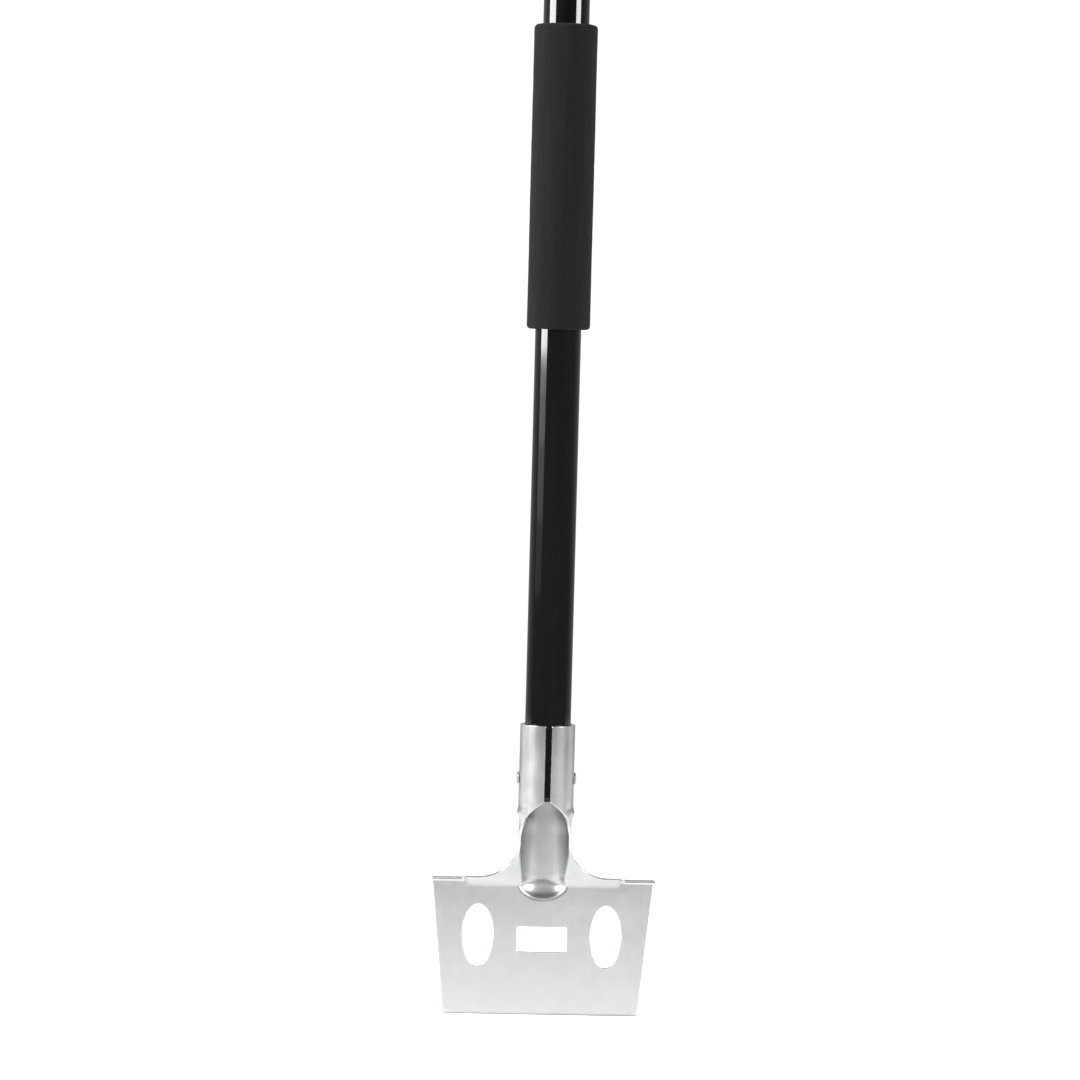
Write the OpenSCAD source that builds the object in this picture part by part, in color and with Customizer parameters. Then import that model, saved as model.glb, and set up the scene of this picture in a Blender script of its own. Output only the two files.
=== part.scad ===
// Long-handled ice scraper: a stamped steel blade head riveted to a steel tube pole,
// with two foam grips, a plug in the tube's lower end and a hang cap in its upper end.
// +Z runs up the pole's axis, -Y is the side with the open hollow, and z = 0 is the scraping edge.

/* [Blade] */
// Height of the flat plate, from the scraping edge to the top of the foot steps
blade_h = 96.5; // [80:0.5:120]
// Width of the plate at its top
blade_top_w = 154.4; // [120:0.1:200]
// Width of the plate at the scraping edge
blade_edge_w = 135.5; // [100:0.1:180]
// Thickness of the steel sheet
sheet_t = 2.4; // [1.5:0.1:3]
// Distance from the pole's axis back to the plate's front face
plate_back = 9; // [6:0.5:12]
// Length of each foot step along the plate's top
step_l = 22; // [15:1:30]
// Radius of the fillets between the plate and the socket
fillet_r = 22; // [15:1:26]
// Height of the sharpened bevel along the scraping edge
bevel_h = 1.6; // [0.5:0.1:3]

/* [Blade holes] */
// Width of each oval hole
oval_w = 21.6; // [15:0.1:26]
// Height of each oval hole
oval_h = 43.4; // [30:0.1:50]
// Distance from the middle of the blade to the middle of each oval hole
oval_x = 44.6; // [40:0.1:50]
// Height of the middle of the oval holes
oval_z = 55.5; // [45:0.5:60]
// Width of the rectangular hole
window_w = 34.5; // [20:0.5:50]
// Height of the rectangular hole
window_h = 17.2; // [10:0.1:22]
// Height of the middle of the rectangular hole
window_z = 53; // [45:0.5:60]

/* [Socket] */
// Outer diameter of the rolled socket
socket_od = 38.1; // [36:0.1:42]
// Height of the socket's top rim
socket_top = 204.5; // [180:0.5:240]
// Width of the slit down the front of the socket
slit_w = 3.8; // [2:0.1:6]
// Height at which the slit opens into the hollow
slit_base = 152; // [145:0.5:160]
// Height at which the hollow is as wide as the channel
hollow_full = 118; // [110:0.5:125]
// Height of the middle of the hollow's round toe
toe_z = 96.5; // [92:0.5:100]
// Height of the two rivets
rivet_z = 167; // [160:1:190]

/* [Rivets] */
// Diameter of the rivet's shank
rivet_d = 4.8; // [4:0.1:6.4]
// Diameter of the rivet's domed head
rivet_head_d = 8.4; // [7:0.1:10]
// Height of the rivet's domed head
rivet_head_h = 1.6; // [1:0.1:3]

/* [Pole] */
// Outer diameter of the tube
pole_od = 31.75; // [25:0.05:33]
// Wall of the tube
pole_wall = 1.2; // [0.8:0.1:2]
// Length of the tube
pole_l = 1219; // [600:1:1500]

/* [Grips] */
// Outer diameter of the foam grips
grip_od = 44; // [38:0.5:50]
// Length of the foam grips
grip_l = 209; // [120:1:300]
// Height of the lower grip's bottom end
grip_base = 477.5; // [300:0.5:600]
// Gap from the upper grip's top end down from the tube's end
grip_drop = 8; // [4:1:30]

/* [End cap] */
// Diameter of the hole that the tool hangs by
hang_d = 10; // [8:0.5:12]
// Width of the cap's eye
eye_w = 26; // [22:1:32]
// Thickness of the cap's eye
eye_t = 9; // [6:0.5:12]

/* [Hidden] */
$fn = 96;

eps = 0.01;
cut = 60;                                   // reach of a cutting block, past every face it crosses
socket_r = socket_od / 2;
socket_bore_r = socket_r - sheet_t;
pole_r = pole_od / 2;
tube_bore_r = pole_r - pole_wall;

plug_rim_t = 2;                             // flange of the lower plug, under the tube's end
pole_base = slit_base + plug_rim_t;
pole_top = pole_base + pole_l;
plug_depth = 22;                            // how far a plug reaches into the tube
plug_wall = 1.8;
slack = 0.05;                               // gap between a pushed-in part and its hole

bend_z = 88;                                // where the shoulders start to lean forward
bend_top = 113;                             // where they reach the channel's side walls
wing_top = blade_h + fillet_r;              // where the fillets run out into the channel
wing_x = socket_r + 0.4;                    // half width of the sheet where the fillets end

rivet_r = rivet_d / 2;
rivet_hole_r = rivet_r + slack;
stem_r = 1.3;
rivet_collar_r = 3.3;                       // blind side of a set rivet, inside the tube
rivet_collar_l = 2.4;
rivet_seat = socket_r + slack;              // underside of the rivet's head, from the pole's axis
rivet_inner = sqrt(pow(tube_bore_r, 2) - pow(rivet_collar_r, 2)) - slack;   // where the collar meets the bore
stem_head_r = 2.1;
stem_head_l = 1.6;
stem_sunk = 0.5;                            // how far the broken stem sits below the dome

cap_rim_t = 5;
cap_rim_r = 17.6;
eye_z = pole_top + cap_rim_t + 15;          // height of the middle of the hang hole

steps = 12;                                 // points along the hollow's curved mouth

// Front face of the hollow's mouth at a share t of the way down from the slit, from 0 to 1
function mouth_y(t) = -socket_r * sqrt(1 - sin(90 * t));

// Outline of an ellipse w wide and h high
function oval(w, h) = [for (a = [0 : 7.5 : 352.5]) [w / 2 * cos(a), h / 2 * sin(a)]];

// Puts a drawing of the front view upright, as a slab from y0 back to y1
module upright(y0, y1) {
    translate([0, y1, 0]) rotate([90, 0, 0]) linear_extrude(height = y1 - y0) children();
}

// Puts a drawing of the side view, y to the right and z up, as a slab of width w across the middle
module sideways(w) {
    translate([-w / 2, 0, 0]) rotate([90, 0, 90]) linear_extrude(height = w) children();
}

module holes_outline() {
    for (s = [-1, 1]) translate([s * oval_x, oval_z]) polygon(oval(oval_w, oval_h));
    translate([-window_w / 2, window_z - window_h / 2]) square([window_w, window_h]);
}

// Front view of the sheet around the hollow: the fillets sweep from the plate up to the channel
module shoulder_outline() {
    difference() {
        translate([-wing_x - fillet_r, bend_z]) square([2 * (wing_x + fillet_r), wing_top - bend_z]);
        for (s = [-1, 1]) translate([s * (wing_x + fillet_r), wing_top]) circle(r = fillet_r);
    }
}

// Side view of the shoulders: they lean forward from the plate to the channel's side walls
module shoulder_side() {
    back = plate_back + sheet_t;
    polygon([
        [plate_back, bend_z - 6], [back, bend_z - 6], [back, bend_z],
        [sheet_t, bend_top], [sheet_t, wing_top], [0, wing_top], [0, bend_top], [plate_back, bend_z]
    ]);
}

// Side view of what is cut away in front of the hollow and above its toe
module mouth_side() {
    drop = slit_base - hollow_full;
    polygon(concat(
        [[-cut, slit_base]],
        [for (i = [0 : steps]) [mouth_y(i / steps), slit_base - drop * i / steps]],
        [[0, bend_top], [plate_back + sheet_t / 2, bend_z], [plate_back + sheet_t / 2, 0], [-cut, 0]]
    ));
}

module plate() {
    difference() {
        upright(plate_back, plate_back + sheet_t) difference() {
            polygon([
                [-blade_edge_w / 2, 0], [blade_edge_w / 2, 0],
                [blade_top_w / 2, blade_h], [-blade_top_w / 2, blade_h]
            ]);
            holes_outline();
        }
        // The bevel is ground on the front face and leaves a blunt edge
        sideways(2 * cut + blade_edge_w) polygon([
            [plate_back - 1, -1], [plate_back + sheet_t * 0.6, -1],
            [plate_back + sheet_t * 0.6, 0], [plate_back, bevel_h], [plate_back - 1, bevel_h]
        ]);
    }
}

// The steps turn forward from the plate's top, and their ends go on spreading as the plate's sides do
module foot_steps() {
    spread = (blade_top_w - blade_edge_w) / 2 / blade_h * plate_back;
    outer = blade_top_w / 2;
    for (s = [0, 1]) mirror([s, 0, 0])
        translate([0, 0, blade_h - sheet_t]) linear_extrude(height = sheet_t) polygon([
            [outer - step_l, 0], [outer + spread, 0],
            [outer, plate_back + eps], [outer - step_l, plate_back + eps]
        ]);
}

module shoulders() {
    intersection() {
        sideways(2 * (wing_x + fillet_r)) shoulder_side();
        upright(-cut, cut) shoulder_outline();
    }
}

// The rolled tube above, the open channel below it and the channel's round toe
module socket_outside() {
    difference() {
        union() {
            translate([0, 0, toe_z]) cylinder(r = socket_r, h = socket_top - toe_z);
            translate([0, 0, toe_z]) sphere(r = socket_r);
        }
        sideways(2 * cut) mouth_side();
    }
}

module blade_head() {
    color("gainsboro") difference() {
        union() {
            plate();
            foot_steps();
            shoulders();
            socket_outside();
        }
        translate([0, 0, toe_z]) cylinder(r = socket_bore_r, h = socket_top - toe_z + 1);
        translate([0, 0, toe_z]) sphere(r = socket_bore_r);
        translate([-slit_w / 2, -cut, slit_base - 6]) cube([slit_w, cut, socket_top]);
        translate([-cut, 0, rivet_z]) rotate([0, 90, 0]) cylinder(r = rivet_hole_r, h = 2 * cut);
    }
}

module pole_tube() {
    color("black") difference() {
        translate([0, 0, pole_base]) cylinder(r = pole_r, h = pole_l);
        translate([0, 0, pole_base - 1]) cylinder(r = tube_bore_r, h = pole_l + 2);
        translate([-cut, 0, rivet_z]) rotate([0, 90, 0]) cylinder(r = rivet_hole_r, h = 2 * cut);
    }
}

// A hollow plug, open inside the tube. Its skirt stops short of the rivets' blind sides
module lower_plug() {
    skirt = rivet_z - rivet_collar_r - 1 - pole_base;
    color("dimgray") difference() {
        union() {
            translate([0, 0, slit_base]) cylinder(r = pole_r, h = plug_rim_t);
            translate([0, 0, slit_base]) cylinder(r = tube_bore_r - slack, h = plug_rim_t + skirt);
        }
        translate([0, 0, pole_base]) cylinder(r = tube_bore_r - slack - plug_wall, h = skirt + 1);
    }
}

// Turns a profile around the rivets' axis: its y is the distance from the pole's axis towards +X
module turned_at_rivet() {
    translate([0, 0, rivet_z]) rotate([0, 90, 0]) rotate_extrude() children();
}

// A set blind rivet on the +X side: domed head, shank and the collar that its stem drew up
module rivet() {
    dome_r = (pow(rivet_head_h, 2) + pow(rivet_head_d / 2, 2)) / (2 * rivet_head_h);
    collar_base = rivet_inner - rivet_collar_l;
    color("dimgray") turned_at_rivet() difference() {
        union() {
            intersection() {
                translate([0, rivet_seat + rivet_head_h - dome_r]) circle(r = dome_r);
                translate([0, rivet_seat]) square(rivet_head_d);
            }
            translate([0, collar_base]) square([rivet_r, rivet_seat + eps - collar_base]);
            translate([0, collar_base]) square([rivet_collar_r, rivet_collar_l]);
        }
        square([stem_r, cut]);
    }
}

// The stem that stays in the +X rivet, with its head against the blind collar
module rivet_stem() {
    inner = rivet_inner - rivet_collar_l;
    color("gray") turned_at_rivet() union() {
        translate([0, inner - stem_head_l]) square([stem_head_r, stem_head_l]);
        translate([0, inner]) square([stem_r, rivet_seat + rivet_head_h - stem_sunk - inner]);
    }
}

// A foam sleeve with rounded ends, its lower end at z = 0
module grip() {
    nose = 3;
    rotate_extrude() union() {
        translate([pole_r, 0]) square([grip_od / 2 - nose - pole_r, grip_l]);
        translate([pole_r, nose]) square([grip_od / 2 - pole_r, grip_l - 2 * nose]);
        for (z = [nose, grip_l - nose]) translate([grip_od / 2 - nose, z]) circle(r = nose);
    }
}

module end_cap() {
    color("dimgray") difference() {
        union() {
            translate([0, 0, pole_top - plug_depth]) cylinder(r = tube_bore_r - slack, h = plug_depth + eps);
            translate([0, 0, pole_top]) cylinder(r = cap_rim_r, h = cap_rim_t);
            upright(-eye_t / 2, eye_t / 2) union() {
                translate([0, eye_z]) circle(d = eye_w);
                translate([-eye_w / 2, pole_top + cap_rim_t - eps]) square([eye_w, eye_z - pole_top - cap_rim_t]);
            }
        }
        translate([0, 0, pole_top - plug_depth - 1])
            cylinder(r = tube_bore_r - slack - plug_wall, h = plug_depth + 1);
        translate([0, cut, eye_z]) rotate([90, 0, 0]) cylinder(d = hang_d, h = 2 * cut);
    }
}

blade_head();
pole_tube();
lower_plug();
mirror([1, 0, 0]) rivet();  // rivet_left
rivet();  // rivet_right
mirror([1, 0, 0]) rivet_stem();  // rivet_stem_left
rivet_stem();  // rivet_stem_right
color("black") translate([0, 0, grip_base]) grip();  // lower_grip
color("black") translate([0, 0, pole_top - grip_drop - grip_l]) grip();  // upper_grip
end_cap();
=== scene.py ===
"""Looks of the long-handled ice scraper: its stamped head, pole, foam grips, rivets and caps,
with the studio that it stands in. Lengths in the shape functions are millimetres."""

import math

import bmesh
import bpy
import numpy as np
from mathutils import Matrix, Vector, geometry, noise


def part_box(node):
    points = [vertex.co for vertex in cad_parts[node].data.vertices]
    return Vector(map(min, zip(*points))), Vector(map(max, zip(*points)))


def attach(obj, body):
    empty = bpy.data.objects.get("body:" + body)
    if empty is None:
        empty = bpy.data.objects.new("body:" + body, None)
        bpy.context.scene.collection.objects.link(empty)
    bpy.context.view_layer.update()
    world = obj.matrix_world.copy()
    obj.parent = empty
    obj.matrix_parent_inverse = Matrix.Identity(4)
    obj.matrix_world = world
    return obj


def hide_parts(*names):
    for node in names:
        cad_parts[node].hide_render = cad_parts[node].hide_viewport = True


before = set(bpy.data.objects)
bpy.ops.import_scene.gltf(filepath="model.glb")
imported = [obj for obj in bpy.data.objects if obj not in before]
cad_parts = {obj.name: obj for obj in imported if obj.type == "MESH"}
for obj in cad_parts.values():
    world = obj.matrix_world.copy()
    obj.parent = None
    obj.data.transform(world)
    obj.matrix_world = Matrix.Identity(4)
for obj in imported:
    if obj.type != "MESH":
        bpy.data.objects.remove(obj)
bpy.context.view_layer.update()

MM = 0.001

# ---------------------------------------------------------------- sizes taken from the frame


def node_box(name):
    """Lowest and highest corner of a CAD node, in millimetres."""
    low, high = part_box(name)
    return np.array(low) / MM, np.array(high) / MM


HEAD_HIGH = node_box("blade_head")[1]
POLE_LOW, POLE_HIGH = node_box("pole_tube")
PLUG_LOW, PLUG_HIGH = node_box("lower_plug")
GRIP_LOW, GRIP_HIGH = node_box("lower_grip")
TOP_GRIP_LOW = node_box("upper_grip")[0]
CAP_LOW, CAP_HIGH = node_box("end_cap")
RIVET_LOW, RIVET_HIGH = node_box("rivet_right")
STEM_LOW, STEM_HIGH = node_box("rivet_stem_right")

POLE_R = POLE_HIGH[0]
TUBE_WALL = 1.2
GRIP_R = GRIP_HIGH[0]
GRIP_L = GRIP_HIGH[2] - GRIP_LOW[2]
SKIRT_R = POLE_R - TUBE_WALL - 0.05           # the plugs' skirts, clear of the tube's wall

# ---------------------------------------------------------------- the head's driving sizes

SHEET = 2.4                                   # thickness of the steel
SOCKET_R = HEAD_HIGH[1] - SHEET / 2           # middle of the sheet, in the rolled socket
SOCKET_TOP = HEAD_HIGH[2]
PLATE_Y = 9 + SHEET / 2                       # middle of the sheet, in the flat plate
PLATE_TOP = 96.5
EDGE_HALF_W = 135.5 / 2                       # half width at the scraping edge
TOP_HALF_W = 154.4 / 2                        # half width at the plate's top
SIDE_SLOPE = (TOP_HALF_W - EDGE_HALF_W) / PLATE_TOP

# places and half sizes of the holes
OVAL_X, OVAL_Z, OVAL_A, OVAL_B = 44.6, 55.5, 10.8, 21.7
WINDOW_Z, WINDOW_A, WINDOW_B = 53.0, 17.25, 8.6
WINDOW_CORNER = 0.9
RIVET_Z = (RIVET_LOW[2] + RIVET_HIGH[2]) / 2
RIVET_HOLE_R = 2.45

# the channel, its toe and the rim round it
WALLS_UP = 118.0                              # the mouth's curve starts here, on upright walls
RIM_R = 2.2                                   # bend from the channel into the plate
TOE_Z, TOE_L = 95.2, 15.4                     # where the toe starts, and how far it runs down
TOE_POWER = 2.3                               # 2 is an ellipse, more squares the toe's corners
TOE_WIDE_Z, TOE_WIDER = 89.5, 0.20            # where the toe is widest, and by what share
TOE_ABOVE, TOE_BELOW = 4.6, 8                 # how fast that fades upward and downward
TOE_KEEP_X, TOE_FADE_X = 17, 16               # it holds out to the first, and fades over the second

# the shoulders lean forward from LEAN_Z up, through a bend of LEAN_BLEND each way
LEAN_Z, LEAN_BLEND, LEAN_SLOPE = 92.6, 3.0, 0.42
LEAN_X = 49.5                                 # the lean starts to fade out this far from the middle
# the fillet between plate and channel is a superellipse: its centre, its half axes and its power
FILLET_X, FILLET_Z, FILLET_A, FILLET_B, FILLET_P = 44.0, 117.0, 24.3, 20.5, 1.8
UPRIGHT_FROM, UPRIGHT_OVER = 104, 13          # where it turns upright, and over what height

# the foot steps, bent forward, each with a relief cut at its inner end
STEP_X = TOP_HALF_W - 22                      # inner end of the foot steps
STEP_BEND_Z, STEP_BEND_R = 93.1, 2.2
STEP_STRAIGHT = 8.0                           # flat part of a foot step, up to its front edge
# a foot step's front edge, on the blank
STEP_V = STEP_BEND_Z + STEP_BEND_R * math.pi / 2 + STEP_STRAIGHT
NOTCH, NOTCH_V = 0.2, 92.9                    # half width of the relief cut, and its foot

# the socket: heights between which the rim turns into the tube's wall, then the mouth and the slit
TUBE_FROM, TUBE_FULL = 112.0, 123.0
RIM_END, MOUTH_FROM = 114.0, 124.0            # the edge passes from fillet to mouth between these
MOUTH_POWER = 1.85                            # how late the mouth closes toward the slit
SLIT_HALF, SLIT_BASE = 1.9, 152.0
# its small deformations: how far outward, at what height, and how far up and down they reach;
# then, for two of them, at what angle from the back, and how far round they reach
WAIST, WAIST_Z, WAIST_REACH = -0.8, 134, 9
CORNER, CORNER_Z, CORNER_REACH, CORNER_ANGLE, CORNER_SPREAD = 1.0, 143.5, 2.8, 1.75, 0.28
DENT, DENT_Z, DENT_REACH, DENT_ANGLE, DENT_SPREAD = -0.3, 147, 2.6, 2.22, 0.13

# the cut edges
BEVEL = 1.6                                   # height of the ground bevel on the scraping edge
LAND = 0.65                                   # thickness that the bevel leaves at the edge itself
RIM_IN, RIM_HALF = 0.35, 1.20                 # a rim starts this far in, at this half thickness
ROUND_IN, ROUND_HALF = 0.10, 1.11             # it is rounded through this
EDGE_HALF = 0.85                              # and reaches the cut edge at this half thickness
MARK_REACH = 2.5                              # the mark of a cut edge fades out over this distance

# spacing of the mesh
FINE, COARSE, FINE_FROM = 1.0, 2.5, 78.0      # and the height from which it is fine
GRID_FROM, GRID_HALF_W = 3.0, 82              # where the grid starts, and how far out it reaches
COARSE_ROOM, FINE_ROOM = 1.2, 0.55            # the grid keeps this far from the rims
ROW_GAP = 0.866                               # gap between the grid's rows, in spacings
BEVEL_ROW = 66.5                              # half length of the rows along the bevel's top


def smooth(t):
    """Smooth step from 0 to 1."""
    t = np.clip(t, 0, 1)
    return t * t * (3 - 2 * t)


def hump(value, centre, reach):
    """A smooth hump of height 1, which has fallen to about a third at the reach."""
    return np.exp(-((value - centre) / reach) ** 2)


def lean(z):
    """How far the sheet has come forward of the plate at height z, through a soft bend."""
    u = z - LEAN_Z
    soft = (u + LEAN_BLEND) ** 2 / (4 * LEAN_BLEND)
    return LEAN_SLOPE * np.where(u < -LEAN_BLEND, 0, np.where(u > LEAN_BLEND, u, soft))


def rim_angle(z):
    """Angle round the channel, from its back, at which its wall starts to bend out into the rim."""
    strip = PLATE_Y - lean(z)
    return np.arccos(np.clip((strip + RIM_R) / (SOCKET_R + RIM_R), -0.95, 0.95))


def across(s, z):
    """Cross-section of the sheet at height z: x and y, a distance s along it from the middle."""
    side, s = np.sign(s), np.abs(s)
    a1 = rim_angle(z)
    s1 = SOCKET_R * a1
    s2 = s1 + RIM_R * a1
    wall = np.minimum(s, s1) / SOCKET_R
    centre = SOCKET_R + RIM_R
    turn = np.clip(a1 - (s - s1) / RIM_R, 0, a1)
    flat = np.maximum(s - s2, 0)
    bend = centre * np.sin(a1) - RIM_R * np.sin(turn) + flat
    x = np.where(s < s1, SOCKET_R * np.sin(wall), bend)
    y = np.where(s < s1, SOCKET_R * np.cos(wall), centre * np.cos(a1) - RIM_R * np.cos(turn))
    return side * x, y


def depth_at(x, z):
    """The same cross-section as a depth y over x, for heights where no wall stands past upright."""
    x = np.abs(x)
    a1 = rim_angle(z)
    centre = SOCKET_R + RIM_R
    wall = np.sqrt(np.maximum(SOCKET_R ** 2 - x ** 2, 0))
    rim = np.maximum(RIM_R ** 2 - (x - centre * np.sin(a1)) ** 2, 0)
    bend = centre * np.cos(a1) - np.sqrt(rim)
    out = np.where(x < SOCKET_R * np.sin(a1), wall, bend)
    return np.where(x > centre * np.sin(a1), PLATE_Y - lean(z), out)


def along(x, z):
    """Distance along the cross-section at height z at which it reaches x."""
    a1 = rim_angle(z)
    centre = SOCKET_R + RIM_R
    x_wall, x_flat = SOCKET_R * np.sin(a1), centre * np.sin(a1)
    on_wall = SOCKET_R * np.arcsin(np.clip(x / SOCKET_R, -1, 1))
    on_bend = SOCKET_R * a1 + RIM_R * (a1 - np.arcsin(np.clip((x_flat - x) / RIM_R, 0, 1)))
    on_flat = (SOCKET_R + RIM_R) * a1 + (x - x_flat)
    return np.where(x < x_wall, on_wall, np.where(x < x_flat, on_bend, on_flat))


def sheet_point(s, v):
    """Middle of the formed sheet for a point (s, v) of the flat blank."""
    x, y = across(s, np.maximum(v, TOE_Z))
    # below the toe's start the channel closes like the end of a spoon
    rim_x = (SOCKET_R + RIM_R) * np.sin(rim_angle(v))
    down = np.maximum(TOE_Z - v, 0) / TOE_L
    reach = (np.abs(x) ** TOE_POWER + (down * rim_x) ** TOE_POWER) ** (1 / TOE_POWER)
    y = np.where(v < TOE_Z, depth_at(reach, v), y)
    # the toe was pressed a little wider than the channel above it
    toe = np.exp(-((v - TOE_WIDE_Z) / np.where(v > TOE_WIDE_Z, TOE_ABOVE, TOE_BELOW)) ** 2)
    x = x * (1 + TOE_WIDER * toe * (1 - smooth((np.abs(x) - TOE_KEEP_X) / TOE_FADE_X)))
    # the shoulders lean forward, but the sheet under the foot steps stays flat
    y = y + lean(v) * smooth((np.abs(x) - LEAN_X) / (STEP_X - NOTCH - LEAN_X))
    # higher up it turns into a round tube, waisted at the mouth, with two sprung, dented corners
    angle = s / SOCKET_R
    near = np.cos(np.clip((v - WAIST_Z) / WAIST_REACH, -1, 1) * np.pi / 2) ** 2
    waist = WAIST * near * np.sin(angle) ** 2
    corner = (CORNER * hump(v, CORNER_Z, CORNER_REACH)
              * hump(np.abs(angle), CORNER_ANGLE, CORNER_SPREAD))
    dent = DENT * hump(v, DENT_Z, DENT_REACH) * hump(np.abs(angle), DENT_ANGLE, DENT_SPREAD)
    r = SOCKET_R + waist + corner + dent
    tube = smooth((v - TUBE_FROM) / (TUBE_FULL - TUBE_FROM))
    x = x + (r * np.sin(angle) - x) * tube
    y = y + (r * np.cos(angle) - y) * tube
    # the foot steps turn forward
    step = (np.abs(x) > STEP_X - 0.01) & (v > STEP_BEND_Z) & (v < WALLS_UP)
    bend = np.clip((v - STEP_BEND_Z) / STEP_BEND_R, 0, np.pi / 2)
    straight = np.maximum(v - STEP_BEND_Z - STEP_BEND_R * np.pi / 2, 0)
    y = np.where(step, PLATE_Y - STEP_BEND_R * (1 - np.cos(bend)) - straight, y)
    z = np.where(step, STEP_BEND_Z + STEP_BEND_R * np.sin(bend), v)
    return np.stack([x, y, z], axis=-1)


# ---------------------------------------------------------------- outline of the blank


def blank_s(x, v):
    """Distance along the blank for a place x of the formed sheet, at height v."""
    x = np.asarray(x, float)
    return np.sign(x) * along(np.abs(x), np.maximum(v, TOE_Z))


def line(start, end, step):
    """Evenly spaced points from start up to, but not including, end."""
    start, end = np.array(start, float), np.array(end, float)
    count = max(1, round(float(np.linalg.norm(end - start)) / step))
    return [tuple(start + (end - start) * i / count) for i in range(count)]


def arc(centre, radius, start, end, count):
    """Points along an arc, with its angles in degrees."""
    turn = [math.radians(a) for a in np.linspace(start, end, count)]
    return [(centre[0] + radius * math.cos(a), centre[1] + radius * math.sin(a)) for a in turn]


def mouth_angle(z):
    """Angle round the channel, from its back, at which the hollow's cut edge lies at height z."""
    t = np.clip((z - WALLS_UP) / (SLIT_BASE - WALLS_UP), 0, 1)
    slit = math.pi - math.asin(SLIT_HALF / (SOCKET_R - SHEET / 2))
    return math.pi / 2 + (slit - math.pi / 2) * t ** MOUTH_POWER


def fillet_x(z):
    """Half width of the sheet at height z of the fillet between the plate and the channel."""
    t = np.clip((FILLET_Z - z) / FILLET_B, 0, 1)
    outside = FILLET_X - FILLET_A * (1 - t ** FILLET_P) ** (1 / FILLET_P)
    return outside - SHEET / 2 * smooth((z - UPRIGHT_FROM) / UPRIGHT_OVER)


def right_outline():
    """Right half of the blank's outline, from the bottom up, as (s, v) points."""
    side_mid = (EDGE_HALF_W + SIDE_SLOPE * FINE_FROM, FINE_FROM)
    side_top = (EDGE_HALF_W + SIDE_SLOPE * STEP_V, STEP_V)
    front = line((0, 0), (EDGE_HALF_W, 0), COARSE)
    front += line((EDGE_HALF_W, 0), side_mid, COARSE)
    front += line(side_mid, side_top, 0.8)
    front += line(side_top, (STEP_X + NOTCH, STEP_V), FINE)
    front += line((STEP_X + NOTCH, STEP_V), (STEP_X + NOTCH, NOTCH_V), 0.6)
    front += line((STEP_X + NOTCH, NOTCH_V), (STEP_X - NOTCH, NOTCH_V), 0.25)
    front += line((STEP_X - NOTCH, NOTCH_V), (STEP_X - NOTCH, PLATE_TOP), 0.6)
    front += line((STEP_X - NOTCH, PLATE_TOP), (FILLET_X, PLATE_TOP), FINE)
    points = [(float(blank_s(x, v)), v) for x, v in front]
    for z in PLATE_TOP + (RIM_END - PLATE_TOP) * (np.linspace(0, 1, 34) ** 1.8):
        points.append((float(blank_s(fillet_x(z), z)), float(z)))
    s_low, s_high = points[-1][0], SOCKET_R * float(mouth_angle(MOUTH_FROM))
    for t in np.linspace(0, 1, 13)[1:-1]:
        s = s_low + (s_high - s_low) * float(smooth(t))
        points.append((s, RIM_END + (MOUTH_FROM - RIM_END) * float(t)))
    for z in MOUTH_FROM + (SLIT_BASE - MOUTH_FROM) * (1 - (1 - np.linspace(0, 1, 60)[:-1]) ** 1.6):
        points.append((SOCKET_R * float(mouth_angle(z)), float(z)))
    slit_s = SOCKET_R * float(mouth_angle(SLIT_BASE))
    points += line((slit_s, SLIT_BASE), (slit_s, SOCKET_TOP), FINE)
    points += line((slit_s, SOCKET_TOP), (0, SOCKET_TOP), FINE)
    return points


def outline_loops():
    """The blank's outline, and then its holes, each with the metal on its left."""
    right = right_outline()
    left = [(-s, v) for s, v in reversed(right[1:])]
    loops = [np.array(right + [(0.0, SOCKET_TOP)] + left)]
    turn = np.linspace(0, -2 * np.pi, 73)[:-1]
    for side in (-1, 1):
        x, v = side * OVAL_X + OVAL_A * np.cos(turn), OVAL_Z + OVAL_B * np.sin(turn)
        loops.append(np.stack([blank_s(x, v), v], axis=-1))
    window = []
    for k, (sx, sz) in enumerate([(1, -1), (-1, -1), (-1, 1), (1, 1)]):
        middle = (sx * (WINDOW_A - WINDOW_CORNER), WINDOW_Z + sz * (WINDOW_B - WINDOW_CORNER))
        window += arc(middle, WINDOW_CORNER, -90 * k, -90 * k - 90, 6)
    x, v = dense(np.array(window), 2.0).T
    loops.append(np.stack([blank_s(x, v), v], axis=-1))
    turn = np.linspace(0, -2 * np.pi, 25)[:-1]
    for side in (-1, 1):
        s = side * SOCKET_R * np.pi / 2 + RIVET_HOLE_R * np.cos(turn)
        loops.append(np.stack([s, RIVET_Z + RIVET_HOLE_R * np.sin(turn)], axis=-1))
    return loops


def dense(loop, step):
    """The closed loop with its long edges split to about the given step."""
    out = []
    for a, b in zip(loop, np.roll(loop, -1, axis=0)):
        out += line(a, b, step)
    return np.array(out)


def inset(loop, distance):
    """The closed loop moved to its left, into the metal."""
    before, after = np.roll(loop, 1, axis=0), np.roll(loop, -1, axis=0)
    a, b = loop - before, after - loop
    a /= np.linalg.norm(a, axis=1, keepdims=True)
    b /= np.linalg.norm(b, axis=1, keepdims=True)
    na, nb = np.stack([-a[:, 1], a[:, 0]], 1), np.stack([-b[:, 1], b[:, 0]], 1)
    mid = na + nb
    return loop + distance * mid / np.maximum(1 + (na * nb).sum(1, keepdims=True), 0.3)


def inside(points, loops):
    """True for the points that lie in the metal, by counting crossings of all loops."""
    count = np.zeros(len(points), int)
    for loop in loops:
        for (x0, y0), (x1, y1) in zip(loop, np.roll(loop, -1, axis=0)):
            if y0 == y1:
                continue
            span = (points[:, 1] >= min(y0, y1)) & (points[:, 1] < max(y0, y1))
            cross = x0 + (points[:, 1] - y0) * (x1 - x0) / (y1 - y0)
            count += span & (points[:, 0] < cross)
    return count % 2 == 1


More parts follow.
